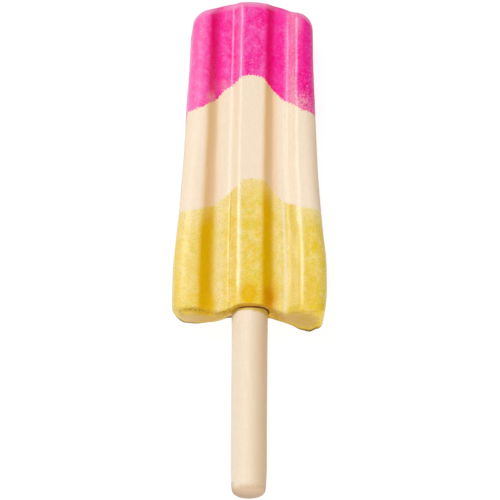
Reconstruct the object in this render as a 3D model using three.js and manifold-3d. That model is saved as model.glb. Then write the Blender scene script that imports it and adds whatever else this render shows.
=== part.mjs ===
// A wooden toy ice lolly, lying on its back: a milled wooden head with three lengthwise ribs, dyed
// pink at the tip and yellow at the base, on a plain round stick that is glued into its base.
// Units are millimetres and +Z is up. The lolly's length runs along Y, with the tip towards +Y.
// The origin is under the middle of the whole lolly, on the surface that it lies on.

import * as THREE from 'three';
import Module from 'manifold-3d';

// ---------------------------------------------------------------- driving dimensions

const HEAD_LENGTH = 75.6; // ends of the side lobes to the crown of the tip
const HEAD_THICKNESS = 10.4; // over the flat tops of the ribs, front to back
const TIP_HALF_WIDTH = 13.7;
const BASE_HALF_WIDTH = 17.1;
const STICK_DIAMETER = 8;
const STICK_REACH = 42.1; // how far the stick stands out beyond the side lobes
const SOCKET_DEPTH = 18; // of the blind hole that the stick is glued into
const GLUE_GAP = 0.3; // between the stick and its socket, all round and at the bottom

// The plan outline: the sides widen from the tip, at first slowly, and run parallel at the base.
const WIDENING_STARTS = 70.3; // above the base
const WIDENING_ENDS = 14.5;
const WIDENING_LINEAR_SHARE = 0.47; // the rest of the widening grows with the cube of the distance
const SHOULDER_SOFTNESS = 0.5; // rounds the turn from widening to parallel
const TIP_ARCH_RADIUS = 21.5; // of the arched end of the tip
const TIP_CORNER = 1.6; // corner radii in plan
const BASE_CORNER = 2.8;

// The base is hollowed across the middle, so that the side lobes reach past the stick's socket.
const BASE_HOLLOW = 1.5;
const BASE_HOLLOW_FLOOR = 3.5; // the hollow's floor ends, from the middle
const BASE_HOLLOW_END = 10.5; // the hollow has run out

// The rounded edges, from the ribs' tops to the walls of the outline.
const SIDE_ROUNDING = 2.6;
const END_ROUNDING = 1.3; // how far the end edges fall
const END_ROUNDING_LENGTH = 1.7; // how far in from the end the fall starts

// The section across the head, as distances from the middle: [at the tip, at the base].
const GROOVE_DEPTH = 1.25;
const CENTRE_RIB_EDGE = [2.5, 2.5]; // the centre rib's flat top ends
const GROOVE_INNER_EDGE = [4.75, 5.5]; // the groove's flat floor starts
const GROOVE_OUTER_EDGE = [7.4, 8]; // the floor ends
const LOBE_EDGE = [9.7, 11.5]; // the side lobe's flat top starts
const LOBE_LEAST_FLAT = 0.2; // of the lobe's top, before its side starts to turn down
const FLANK_BLEND = 0.2; // share of each flank's width that is rounded, at each end of it

// The stick's free end.
const STICK_END_ROUNDING = 1.6;
const STICK_END_DOME = 0.3; // the end is sanded slightly domed
const STICK_TAPER = 0.22; // off the radius, from a little way back to the end
const STICK_TAPER_LENGTH = 6.5;

// Fineness of the faceted surfaces.
const RAMP_STEPS = 5; // facets across a flank
const ROUNDING_STEPS = 6; // facets round an edge
const BODY_STEPS = 15; // facets along the head between its rounded ends
const STICK_SIDES = 48;

// ---------------------------------------------------------------- the head's form

const HALF_THICKNESS = HEAD_THICKNESS / 2;
const STICK_RADIUS = STICK_DIAMETER / 2;
const TIP_ZONE = 52; // above this height the stations bend to follow the tip's arch
const BASE_ZONE = 14; // below this height they bend to follow the base's hollow and corners

function clamp01(value) {
  return Math.min(1, Math.max(0, value));
}

function softMinimum(a, b, softness) {
  return (a + b - Math.hypot(a - b, softness)) / 2;
}

// Half the head's width, at a height above its base.
function halfWidth(y) {
  const t = (WIDENING_STARTS - y) / (WIDENING_STARTS - WIDENING_ENDS);
  const share = WIDENING_LINEAR_SHARE * t + (1 - WIDENING_LINEAR_SHARE) * t ** 3;
  const widening = TIP_HALF_WIDTH + (BASE_HALF_WIDTH - TIP_HALF_WIDTH) * share;
  return softMinimum(widening, BASE_HALF_WIDTH, SHOULDER_SOFTNESS);
}

// A distance from the middle that drifts outwards as the head widens.
function drifting([atTip, atBase], width) {
  const share = (width - TIP_HALF_WIDTH) / (BASE_HALF_WIDTH - TIP_HALF_WIDTH);
  return atTip + (atBase - atTip) * clamp01(share);
}

// Rises from 0 to 1 as a straight slope with rounded feet.
function flank(s) {
  const slope = 1 / (1 - FLANK_BLEND);
  if (s <= 0) return 0;
  if (s >= 1) return 1;
  if (s < FLANK_BLEND) return (slope * s * s) / (2 * FLANK_BLEND);
  if (s > 1 - FLANK_BLEND) return 1 - (slope * (1 - s) ** 2) / (2 * FLANK_BLEND);
  return slope * (s - FLANK_BLEND / 2);
}

// How far a quarter-ellipse edge has fallen, at a distance in from the wall.
function edgeFall(distance, fall, length) {
  const s = clamp01(distance / length);
  return fall * (1 - Math.sqrt(1 - (1 - s) ** 2));
}

// How far a corner of the plan outline has turned away from the end, at |x|.
function cornerDrop(x, width, radius) {
  const into = clamp01((x - (width - radius)) / radius);
  return radius * (1 - Math.sqrt(1 - into * into));
}

// How much of the end rounding is left where the end turns into the side.
function endShare(x, width, radius) {
  const into = clamp01((x - (width - radius)) / radius);
  return Math.sqrt(1 - into * into);
}

function baseRise(x, width) {
  const s = clamp01((x - BASE_HOLLOW_FLOOR) / (BASE_HOLLOW_END - BASE_HOLLOW_FLOOR));
  return BASE_HOLLOW * (1 - s * s * (3 - 2 * s)) + cornerDrop(x, width, BASE_CORNER);
}

function tipDrop(x, width) {
  const arch = TIP_ARCH_RADIUS - Math.sqrt(TIP_ARCH_RADIUS ** 2 - x * x);
  return arch + cornerDrop(x, width, TIP_CORNER);
}

// Height of the ribbed surface over the head's middle plane, before its edges are rounded.
function ribbedHeight(x, width) {
  const inner = drifting(GROOVE_INNER_EDGE, width);
  const outer = drifting(GROOVE_OUTER_EDGE, width);
  const ribEdge = drifting(CENTRE_RIB_EDGE, width);
  const lobeEdge = drifting(LOBE_EDGE, width);
  const down = flank((x - ribEdge) / (inner - ribEdge));
  const up = flank((x - outer) / (lobeEdge - outer));
  return HALF_THICKNESS - GROOVE_DEPTH * (down - up);
}

// One point of the head's front surface, for a nominal height and a column's place across.
function surfacePoint(nominal, column) {
  const width = halfWidth(nominal);
  const signedX = column(width);
  const x = Math.abs(signedX);
  const atTip = clamp01((nominal - TIP_ZONE) / (HEAD_LENGTH - TIP_ZONE));
  const atBase = clamp01((BASE_ZONE - nominal) / BASE_ZONE);
  const drop = tipDrop(x, width);
  const rise = baseRise(x, width);
  const y = nominal - drop * atTip + rise * atBase;
  const falls =
    edgeFall(width - x, SIDE_ROUNDING, SIDE_ROUNDING) +
    edgeFall(HEAD_LENGTH - drop - y, END_ROUNDING, END_ROUNDING_LENGTH) * endShare(x, width, TIP_CORNER) +
    edgeFall(y - rise, END_ROUNDING, END_ROUNDING_LENGTH) * endShare(x, width, BASE_CORNER);
  return [signedX, y, ribbedHeight(x, width) - falls];
}

// Steps from 0 to 1 that crowd together at 0, where a rounded edge is steep.
function crowdedSteps(count) {
  return Array.from({ length: count + 1 }, (_, i) => 1 - Math.cos(((i / count) * Math.PI) / 2));
}

// The columns across the head, as functions of its half width, from one side to the other.
function makeColumns() {
  const half = [() => 0];
  const addRamp = (from, to) => {
    for (let i = 0; i <= RAMP_STEPS; i += 1) {
      const share = i / RAMP_STEPS;
      half.push((w) => drifting(from, w) * (1 - share) + drifting(to, w) * share);
    }
  };
  addRamp(CENTRE_RIB_EDGE, GROOVE_INNER_EDGE);
  addRamp(GROOVE_OUTER_EDGE, LOBE_EDGE);
  for (const step of crowdedSteps(ROUNDING_STEPS).reverse()) {
    half.push((w) => {
      const start = Math.max(w - SIDE_ROUNDING, drifting(LOBE_EDGE, w) + LOBE_LEAST_FLAT);
      return w - (w - start) * step;
    });
  }
  const mirrored = half.slice(1).reverse().map((column) => (w) => -column(w));
  return [...mirrored, ...half];
}

// The nominal heights of the rows along the head, from the base to the tip.
function makeRows() {
  const edge = crowdedSteps(ROUNDING_STEPS).map((step) => step * END_ROUNDING_LENGTH);
  const rows = [...edge];
  const from = END_ROUNDING_LENGTH;
  const to = HEAD_LENGTH - END_ROUNDING_LENGTH;
  for (let i = 1; i < BODY_STEPS; i += 1) rows.push(from + ((to - from) * i) / BODY_STEPS);
  return [...rows, ...edge.map((height) => HEAD_LENGTH - height).reverse()];
}

// The closed block: a front and a back sheet, and a wall round the outline between them.
function makeHeadBlock() {
  const columns = makeColumns();
  const rows = makeRows();
  const across = columns.length;
  const front = rows.flatMap((row) => columns.map((column) => surfacePoint(row, column)));
  const back = front.map(([x, y, z]) => [x, y, -z]);
  const positions = [...front, ...back].flat();
  const index = [];
  const addQuad = (a, b, c, d) => index.push(a, b, c, a, c, d);
  for (let row = 0; row + 1 < rows.length; row += 1) {
    for (let column = 0; column + 1 < across; column += 1) {
      const a = row * across + column;
      addQuad(a, a + 1, a + across + 1, a + across);
      const b = a + front.length;
      addQuad(b, b + across, b + across + 1, b + 1);
    }
  }
  const addWall = (a, b) => addQuad(b, a, a + front.length, b + front.length);
  const lastRow = (rows.length - 1) * across;
  for (let column = 0; column + 1 < across; column += 1) {
    addWall(column, column + 1);
    addWall(lastRow + column + 1, lastRow + column);
  }
  for (let row = 0; row + 1 < rows.length; row += 1) {
    const a = row * across;
    addWall(a + across, a);
    addWall(a + across - 1, a + 2 * across - 1);
  }
  const geometry = new THREE.BufferGeometry();
  geometry.setAttribute('position', new THREE.Float32BufferAttribute(positions, 3));
  geometry.setIndex(index);
  return geometry;
}

// ---------------------------------------------------------------- boolean cut

const wasm = await Module();
wasm.setup();

const MERGING_STEPS_PER_MM = 1e4;

// A closed geometry as a solid; vertices that lie in the same place become one.
function toSolid(geometry) {
  const place = geometry.getAttribute('position');
  const triangles = geometry.getIndex().array;
  const known = new Map();
  const vertices = [];
  const merged = Array.from(triangles, (vertex) => {
    const point = [place.getX(vertex), place.getY(vertex), place.getZ(vertex)];
    const key = point.map((value) => Math.round(value * MERGING_STEPS_PER_MM)).join();
    if (!known.has(key)) {
      known.set(key, vertices.length / 3);
      vertices.push(...point);
    }
    return known.get(key);
  });
  return new wasm.Manifold(
    new wasm.Mesh({
      numProp: 3,
      vertProperties: new Float32Array(vertices),
      triVerts: new Uint32Array(merged),
    }),
  );
}

function fromSolid(solid) {
  const mesh = solid.getMesh();
  const geometry = new THREE.BufferGeometry();
  geometry.setAttribute('position', new THREE.Float32BufferAttribute(mesh.vertProperties, 3));
  geometry.setIndex(Array.from(mesh.triVerts));
  geometry.computeVertexNormals();
  return geometry;
}

// ---------------------------------------------------------------- the two pieces

// The head, with the blind hole for the stick drilled into its base.
function makeHead() {
  const radius = STICK_RADIUS + GLUE_GAP;
  const runOut = 2; // the drill starts this far outside the base
  const drill = new THREE.CylinderGeometry(radius, radius, SOCKET_DEPTH + runOut, STICK_SIDES);
  drill.translate(0, (SOCKET_DEPTH - runOut) / 2, 0);
  return fromSolid(toSolid(makeHeadBlock()).subtract(toSolid(drill)));
}

// The stick: a dowel with a softly rounded free end, turned about its own length.
function makeStick() {
  const endRadius = STICK_RADIUS - STICK_TAPER;
  const inner = endRadius - STICK_END_ROUNDING;
  const profile = [new THREE.Vector2(0, -STICK_REACH)];
  for (let i = 0; i <= ROUNDING_STEPS; i += 1) {
    const angle = ((i / ROUNDING_STEPS) * Math.PI) / 2;
    const x = inner + STICK_END_ROUNDING * Math.sin(angle);
    const y = STICK_END_DOME + STICK_END_ROUNDING * (1 - Math.cos(angle)) - STICK_REACH;
    profile.push(new THREE.Vector2(x, y));
  }
  profile.push(new THREE.Vector2(STICK_RADIUS, STICK_TAPER_LENGTH - STICK_REACH));
  profile.push(new THREE.Vector2(STICK_RADIUS, SOCKET_DEPTH - GLUE_GAP));
  profile.push(new THREE.Vector2(0, SOCKET_DEPTH - GLUE_GAP));
  return new THREE.LatheGeometry(profile, STICK_SIDES);
}

const dyedWood = new THREE.MeshStandardMaterial({ color: 0xf4e0c6, roughness: 0.4, metalness: 0 });
const bareWood = new THREE.MeshStandardMaterial({ color: 0xeed6b8, roughness: 0.6, metalness: 0 });

const head = new THREE.Mesh(makeHead(), dyedWood);
head.name = 'lolly_head';

const stick = new THREE.Mesh(makeStick(), bareWood);
stick.name = 'stick';

const lolly = new THREE.Group();
lolly.add(head, stick);
lolly.position.set(0, (STICK_REACH - HEAD_LENGTH) / 2, HALF_THICKNESS);

const part = new THREE.Group();
part.add(lolly);

export default part;
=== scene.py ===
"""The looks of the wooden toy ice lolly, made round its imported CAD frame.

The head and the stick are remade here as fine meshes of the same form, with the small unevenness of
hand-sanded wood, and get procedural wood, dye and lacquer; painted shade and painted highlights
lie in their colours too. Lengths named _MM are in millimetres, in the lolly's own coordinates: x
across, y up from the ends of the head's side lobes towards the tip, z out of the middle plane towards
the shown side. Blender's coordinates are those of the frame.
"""

import math

import bpy
import numpy as np
from mathutils import Matrix, Vector


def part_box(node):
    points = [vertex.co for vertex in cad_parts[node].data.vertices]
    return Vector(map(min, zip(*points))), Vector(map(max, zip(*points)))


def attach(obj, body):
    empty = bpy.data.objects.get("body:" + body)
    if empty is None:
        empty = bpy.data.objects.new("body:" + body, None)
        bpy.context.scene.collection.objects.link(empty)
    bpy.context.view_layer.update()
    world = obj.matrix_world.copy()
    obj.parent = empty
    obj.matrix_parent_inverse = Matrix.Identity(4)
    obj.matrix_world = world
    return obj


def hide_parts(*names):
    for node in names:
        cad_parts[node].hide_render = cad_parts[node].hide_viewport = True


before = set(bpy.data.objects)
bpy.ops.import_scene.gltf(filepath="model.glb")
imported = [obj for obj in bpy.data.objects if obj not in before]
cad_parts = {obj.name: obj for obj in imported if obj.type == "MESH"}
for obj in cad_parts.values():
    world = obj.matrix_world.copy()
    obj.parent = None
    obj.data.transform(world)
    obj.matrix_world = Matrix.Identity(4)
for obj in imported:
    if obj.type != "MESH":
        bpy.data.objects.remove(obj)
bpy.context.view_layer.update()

# ---- sizes, from the frame and the CAD

MM = 0.001
HEAD_LOW, HEAD_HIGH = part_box("lolly_head")
STICK_LOW, STICK_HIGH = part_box("stick")
ORIGIN = Vector((0.0, HEAD_LOW[1], (HEAD_LOW[2] + HEAD_HIGH[2]) / 2))
HEAD_LENGTH_MM = (HEAD_HIGH[1] - HEAD_LOW[1]) / MM
HALF_THICKNESS_MM = (HEAD_HIGH[2] - HEAD_LOW[2]) / 2 / MM
STICK_RADIUS_MM = (STICK_HIGH[0] - STICK_LOW[0]) / 2 / MM
STICK_END_MM = (STICK_LOW[1] - HEAD_LOW[1]) / MM
STICK_TOP_MM = (STICK_HIGH[1] - HEAD_LOW[1]) / MM

# The outline of the head.
TIP_HALF_WIDTH_MM = 13.7
BASE_HALF_WIDTH_MM = 17.1
WIDENING_STARTS_MM = 70.3
WIDENING_ENDS_MM = 14.5
WIDENING_LINEAR_SHARE = 0.47
SHOULDER_SOFTNESS_MM = 0.5
TIP_ARCH_RADIUS_MM = (22.2, 23.0)  # left of the crown, right of it
TIP_CORNER_MM = 1.6
TIP_ZONE_MM = 52.0  # the tip's arch bends the rows of the mesh from here up
BASE_CORNER_MM = (2.8, 2.0)  # at the left, at the right
BASE_ZONE_MM = 14.0  # the hollow of the base bends the rows of the mesh from here down
BASE_HOLLOW_MM = 1.5
BASE_HOLLOW_FLOOR_MM = (3.5, 3.0)  # at the back, at the front
BASE_HOLLOW_END_MM = (10.5, 7.8)
BASE_HOLLOW_SHIFT_MM = (1.7, 0.6)

# How far the tip's outline is sanded down from the left to the right; less than 0 is left standing.
TIP_TRIM_PLACES_MM = (-12.4, -10.8, -9.4, -7.5, -2.5, 3.6, 5.0, 7.5, 8.9, 9.7, 10.9, 12.2)
TIP_TRIM_MM = (-0.25, -0.3, 0.12, 0.05, 0.0, 0.15, 0.05, 0.05, 0.25, 0.0, -0.32, -0.4)
TRIM_SOFTNESS_MM = 0.6

# How far the back edge of the end face is trimmed, in the same way.
BACK_EDGE_PLACES_MM = (-16.5, -14.5, -9.8, -6.3, -4.3, 4.6, 5.9, 8.0, 10.0, 12.0, 13.3, 14.2, 15.2, 16.3)
BACK_EDGE_TRIM_MM = (0.44, -0.25, -0.3, -0.03, 0.45, 0.5, 0.1, 0.02, 0.33, 0.1, -0.12, -0.38, 0.62, 0.12)

# How much is sanded off the right side at these heights, and off the left side near the tip.
RIGHT_SANDING_PLACES_MM = (1.5, 3.0, 5.0, 15.0, 18.5, 36.0, 43.0, 62.0, 69.0)
RIGHT_SANDING_MM = (0.5, 0.38, 0.12, 0.12, 0.28, 0.3, 0.2, 0.16, 0.0)
SANDING_SOFTNESS_MM = 1.0
LEFT_TIP_SANDING_MM = 0.16
LEFT_TIP_SANDING_FROM_MM = 54.0
LEFT_TIP_SANDING_GROWS_MM = 8.0
SIDE_SANDING_POWER = 4  # keeps the sanding close to the sides

# The end face leans out at the right lobe and in at the left one, in millimetres of height for
# each square millimetre of x times z.
BASE_TWIST = 0.0058
BASE_TWIST_LIMIT_MM = 0.5
SOCKET_LIP_MM = 0.14  # how far the front edge stands out over the stick
SOCKET_LIP_REACH_MM = 2.2

# The rounded edges: how far the edge falls, how far in from the edge the fall starts.
LEFT_ROUNDING_MM = (1.7, 4.0)
RIGHT_ROUNDING_MM = (2.5, 3.0)
END_ROUNDING_LENGTH_MM = 1.7
TIP_ROUNDING_MM = 1.3
TIP_ROUNDING_IN_GROOVE = 0.45  # share of the tip's rounding that is left in a groove
BASE_ROUNDING_PLACES_MM = (-10.0, 0.0, 10.0)  # the left lobe, the centre rib and the right lobe
BASE_ROUNDING_MM = (1.9, 0.8, 1.0)

GROOVE_DEPTH_MM = 1.25
# The edges of the ribs and grooves: distances from the middle, at the tip and at the base.
CENTRE_RIB_EDGE_MM = (2.5, 2.5)
GROOVE_INNER_EDGE_MM = (4.75, 5.5)
GROOVE_OUTER_EDGE_MM = (7.4, 8.0)
LOBE_EDGE_MM = (9.7, 11.5)
# How far the groove walls lie to the right of their true places, at these places across the head:
# at the tip, half way and at the base.
WALL_PLACES_MM = (-9.5, -3.9, 3.9, 7.8, 10.5)
WALL_SHIFT_MM = (
    (0.12, 0.35, 0.46, 0.2, 0.42),
    (-0.22, 0.0, -0.17, -0.3, 0.22),
    (-0.5, 0.18, -0.46, -0.4, 0.48),
)
# The shares of a wall's width that are rounded, at the rib and at the groove's floor.
BLENDS_FACING_LEFT = (0.6, 0.3)
BLENDS_FACING_RIGHT = (0.25, 0.2)
BLENDS_OF_RIGHT_LOBE = (0.38, 0.3)

SOCKET_RADIUS_MM = 4.18
SOCKET_SHIFT_MM = 0.18  # to the right
SOCKET_DEPTH_MM = 9.0
DRILL_RUN_OUT_MM = 3.0

# The smooth unevenness of the milled lines, the flat faces, the dye's edges and the stick: how far
# it goes, the reach of its bumps, how much closer they are across than along, and its seed.
LINE_WAVER_MM, LINE_WAVER_REACH_MM, LINE_WAVER_CLOSER, LINE_SEED = 0.09, 7.0, 1.4, 11
FACE_WAVER_MM, FACE_WAVER_REACH_MM, FACE_WAVER_CLOSER, FACE_SEED = 0.045, 6.0, 2.2, 3
DYE_WAVER_MM, DYE_WAVER_REACH_MM, DYE_SEED = 0.35, 4.0, 5
STICK_WAVER_MM, STICK_WAVER_REACH_MM, STICK_SEED = 0.03, 9.0, 7

# The steps of the head's mesh, and how much they crowd towards the sides and the ends.
ACROSS = 150
ALONG = 230
WALL_STEPS = 14
SIDE_CROWDING = 0.35
END_CROWDING = 0.9


def clamp01(value):
    return np.clip(value, 0.0, 1.0)


def soft_step(value):
    value = clamp01(value)
    return value * value * (3 - 2 * value)


def grown(value, none_at, whole_at):
    """0 where a value is at none_at, 1 where it is at whole_at or beyond, and even between."""
    return clamp01((value - none_at) / (whole_at - none_at))


def softly_between(x, places, values, reach):
    """Values drawn between places, with the corners of the line rounded off."""
    steps = (-1.0, -0.5, 0.0, 0.5, 1.0)
    return sum(np.interp(x + reach * step, places, values) for step in steps) / len(steps)


def waver(x, y, reach, seed):
    """A smooth unevenness between about -1 and 1, whose bumps are about reach long."""
    x, y = x / reach, y / reach
    total = 0.0
    for turn in range(5):
        angle = seed * 1.7 + turn * 2.4
        pace = 1.0 + 0.55 * turn
        along = x * math.cos(angle) + y * math.sin(angle)
        total = total + np.sin(pace * along * 2.1 + seed * 3.1 + turn * 1.3) / (1 + 0.5 * turn)
    return total / 2.6


# ---- the head's outline


def half_width(y):
    t = (WIDENING_STARTS_MM - y) / (WIDENING_STARTS_MM - WIDENING_ENDS_MM)
    share = WIDENING_LINEAR_SHARE * t + (1 - WIDENING_LINEAR_SHARE) * t**3
    widening = TIP_HALF_WIDTH_MM + (BASE_HALF_WIDTH_MM - TIP_HALF_WIDTH_MM) * share
    gap = np.hypot(widening - BASE_HALF_WIDTH_MM, SHOULDER_SOFTNESS_MM)
    return (widening + BASE_HALF_WIDTH_MM - gap) / 2


def corner_turn(x, width, radius):
    return clamp01((x - (width - radius)) / radius)


def corner_drop(x, width, radius):
    return radius * (1 - np.sqrt(1 - corner_turn(x, width, radius) ** 2))


def end_share(x, width, radius):
    return np.sqrt(1 - corner_turn(x, width, radius) ** 2)


def base_corner(signed):
    return np.where(signed < 0, *BASE_CORNER_MM)


def tip_drop(signed, width):
    """How far the tip's outline lies below the head's highest point."""
    x = np.abs(signed)
    radius = np.where(signed < 0, *TIP_ARCH_RADIUS_MM)
    arch = radius - np.sqrt(radius**2 - np.minimum(x, width) ** 2)
    trimmed = softly_between(signed, TIP_TRIM_PLACES_MM, TIP_TRIM_MM, TRIM_SOFTNESS_MM)
    return arch + trimmed + corner_drop(x, width, TIP_CORNER_MM)


def base_rise(signed, z):
    """How far the hollowed end face lies up from the ends of the lobes."""
    frontness = clamp01(z / (2 * HALF_THICKNESS_MM) + 0.5)
    floor, end, shift = (
        back + (front - back) * frontness
        for back, front in (BASE_HOLLOW_FLOOR_MM, BASE_HOLLOW_END_MM, BASE_HOLLOW_SHIFT_MM)
    )
    return BASE_HOLLOW_MM * (1 - soft_step((np.abs(signed - shift) - floor) / (end - floor)))


def end_rise(signed, width, side):
    """The same for the edge of the end face on one side, with its corners and its unevenness."""
    z = side * HALF_THICKNESS_MM
    rise = base_rise(signed, z) + corner_drop(np.abs(signed), width, base_corner(signed))
    rise = rise + np.maximum(BASE_TWIST * signed * z, -BASE_TWIST_LIMIT_MM)
    if side > 0:
        return rise - SOCKET_LIP_MM * np.exp(-((signed / SOCKET_LIP_REACH_MM) ** 2))
    return rise + softly_between(signed, BACK_EDGE_PLACES_MM, BACK_EDGE_TRIM_MM, TRIM_SOFTNESS_MM)


def sanded_across(signed, y, width):
    """Where places across the head come to lie once its sides are sanded."""
    right = softly_between(y, RIGHT_SANDING_PLACES_MM, RIGHT_SANDING_MM, SANDING_SOFTNESS_MM)
    left = LEFT_TIP_SANDING_MM * soft_step((y - LEFT_TIP_SANDING_FROM_MM) / LEFT_TIP_SANDING_GROWS_MM)
    near_right = clamp01(signed / width) ** SIDE_SANDING_POWER
    near_left = clamp01(-signed / width) ** SIDE_SANDING_POWER
    return signed - right * near_right + left * near_left


# ---- the head's ribs and grooves


def drifting(places, width):
    """A distance from the middle, given at the tip and at the base, where the head is this wide."""
    at_tip, at_base = places
    share = (width - TIP_HALF_WIDTH_MM) / (BASE_HALF_WIDTH_MM - TIP_HALF_WIDTH_MM)
    return at_tip + (at_base - at_tip) * clamp01(share)


def flank(s, blends):
    """Rises from 0 at a rib's top to 1 at a groove's floor, as a straight slope with rounded feet."""
    at_rib, at_floor = blends
    slope = 1 / (1 - (at_rib + at_floor) / 2)
    s = clamp01(s)
    low = slope * s * s / (2 * at_rib)
    high = 1 - slope * (1 - s) ** 2 / (2 * at_floor)
    middle = slope * (s - at_rib / 2)
    return np.where(s < at_rib, low, np.where(s > 1 - at_floor, high, middle))


def from_section_middle(signed, y):
    """How far right of the ribbed section's own middle a place is."""
    tip, middle, base = (np.interp(signed, WALL_PLACES_MM, shifts) for shifts in WALL_SHIFT_MM)
    up = clamp01(y / HEAD_LENGTH_MM)
    shift = np.where(up > 0.5, middle + (tip - middle) * (2 * up - 1), base + (middle - base) * 2 * up)
    wander = LINE_WAVER_MM * waver(signed * LINE_WAVER_CLOSER, y, LINE_WAVER_REACH_MM, LINE_SEED)
    return signed - shift + wander


def groove_share(signed, y):
    """How far down in a groove a place on the head is: 0 on a rib, 1 on a groove's floor."""
    width = half_width(y)
    place = from_section_middle(signed, y)
    x = np.abs(place)
    inner = drifting(GROOVE_INNER_EDGE_MM, width)
    outer = drifting(GROOVE_OUTER_EDGE_MM, width)
    rib_edge = drifting(CENTRE_RIB_EDGE_MM, width)
    lobe_edge = drifting(LOBE_EDGE_MM, width)
    from_rib = (x - rib_edge) / (inner - rib_edge)
    from_lobe = (lobe_edge - x) / (lobe_edge - outer)
    left, right = BLENDS_FACING_LEFT, BLENDS_FACING_RIGHT
    at_rib = np.where(place < 0, flank(from_rib, left), flank(from_rib, right))
    at_lobe = np.where(place < 0, flank(from_lobe, right), flank(from_lobe, BLENDS_OF_RIGHT_LOBE))
    return np.minimum(at_rib, at_lobe)


# ---- the head's mesh


def edge_fall(distance, fall, length):
    """How far a rounded edge has fallen at a distance in from it."""
    s = clamp01(distance / length)
    return fall * (1 - np.sqrt(1 - (1 - s) ** 2))


def rounded_off(signed, y, width, groove, drop, rise):
    """How far the rounding of the sides, the tip and the base lowers the face."""
    x = np.abs(signed)
    left = edge_fall(width - x, *LEFT_ROUNDING_MM)
    right = edge_fall(width - x, *RIGHT_ROUNDING_MM)
    tip_fall = TIP_ROUNDING_MM * (1 - (1 - TIP_ROUNDING_IN_GROOVE) * groove)
    base_fall = np.interp(signed, BASE_ROUNDING_PLACES_MM, BASE_ROUNDING_MM)
    tip = edge_fall(HEAD_LENGTH_MM - drop - y, tip_fall, END_ROUNDING_LENGTH_MM)
    base = edge_fall(y - rise, base_fall, END_ROUNDING_LENGTH_MM)
    sides = np.where(signed < 0, left, right)
    tip = tip * end_share(x, width, TIP_CORNER_MM)
    return sides + tip + base * end_share(x, width, base_corner(signed))


def head_grid():
    """The heights and the shares of the half width of a sheet's points, before its ends are bent."""
    turn = np.linspace(-1, 1, ACROSS + 1)
    across = np.sin(turn * math.pi / 2) * SIDE_CROWDING + turn * (1 - SIDE_CROWDING)
    rows = np.linspace(0, 1, ALONG + 1)
    crowded = rows - END_CROWDING * np.sin(rows * 2 * math.pi) / (2 * math.pi)
    return np.meshgrid(crowded * HEAD_LENGTH_MM, across, indexing="ij")


def head_sheet(side):
    """The grid of points of the head's front (side 1) or back (side -1), as arrays of x, y and z."""
    nominal, across = head_grid()
    width = half_width(nominal)
    signed = width * across
    drop = tip_drop(signed, width)
    rise = end_rise(signed, width, side)
    at_tip = clamp01((nominal - TIP_ZONE_MM) / (HEAD_LENGTH_MM - TIP_ZONE_MM))
    at_base = clamp01((BASE_ZONE_MM - nominal) / BASE_ZONE_MM)
    y = nominal - drop * at_tip + rise * at_base
    groove = groove_share(signed, nominal)
    height = HALF_THICKNESS_MM - GROOVE_DEPTH_MM * groove
    height = height - rounded_off(signed, y, width, groove, drop, rise)
    uneven_face = waver(signed * FACE_WAVER_CLOSER, y, FACE_WAVER_REACH_MM, FACE_SEED + side)
    sanding = FACE_WAVER_MM * uneven_face - FACE_WAVER_MM
    height = height + sanding * clamp01(width - np.abs(signed))
    return sanded_across(signed, y, width), y, side * height


def head_mesh():
    """The closed head: the two sheets and a wall of several rows round the outline between them."""
    sheets = [np.stack(head_sheet(side), axis=-1).reshape(-1, 3) for side in (1, -1)]
    across, along = ACROSS + 1, ALONG + 1
    grid = np.arange(across * along).reshape(along, across)
    outline = np.concatenate([grid[0, :-1], grid[:-1, -1], grid[-1, :0:-1], grid[:0:-1, 0]])
    a, b, c, d = grid[:-1, :-1], grid[:-1, 1:], grid[1:, 1:], grid[1:, :-1]
    front = np.stack([a, b, c, d], axis=-1).reshape(-1, 4)
    back = front[:, ::-1] + grid.size
    steps = np.linspace(0, 1, WALL_STEPS + 1)[1:-1, None, None]
    wall = sheets[0][outline] * (1 - steps) + sheets[1][outline] * steps
    rings = [outline]
    rings += [2 * grid.size + i * len(outline) + np.arange(len(outline)) for i in range(WALL_STEPS - 1)]
    rings += [outline + grid.size]
    faces = [front, back]
    for upper, lower in zip(rings, rings[1:]):
        quads = [np.roll(upper, -1), upper, lower, np.roll(lower, -1)]
        faces.append(np.stack(quads, axis=-1))
    return np.concatenate([*sheets, wall.reshape(-1, 3)]), np.concatenate(faces).tolist()


# ---- the stick's mesh

STICK_ROUND = 96  # points in each ring
STICK_DOME_RINGS = 14
STICK_DOME_STARTS = 0.06  # the first ring's share of the dome's radius
STICK_EDGE_RINGS = 14
STICK_LONG_RINGS = 150
STICK_FIRST_STEP_MM = 0.25  # from the rounded edge to the first of the long rings
STICK_END_ROUNDING_MM = 1.15
STICK_SANDED_OFF_MM = 0.02  # of the stick's length, at its free end
STICK_END_DOME_MM = 0.3
STICK_TAPER_MM = 0.22
STICK_TAPER_STARTS_MM = 1.2
STICK_TAPER_ENDS_MM = 6.5
STICK_SHAVED_MM = 0.01  # off the radius all along


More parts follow.
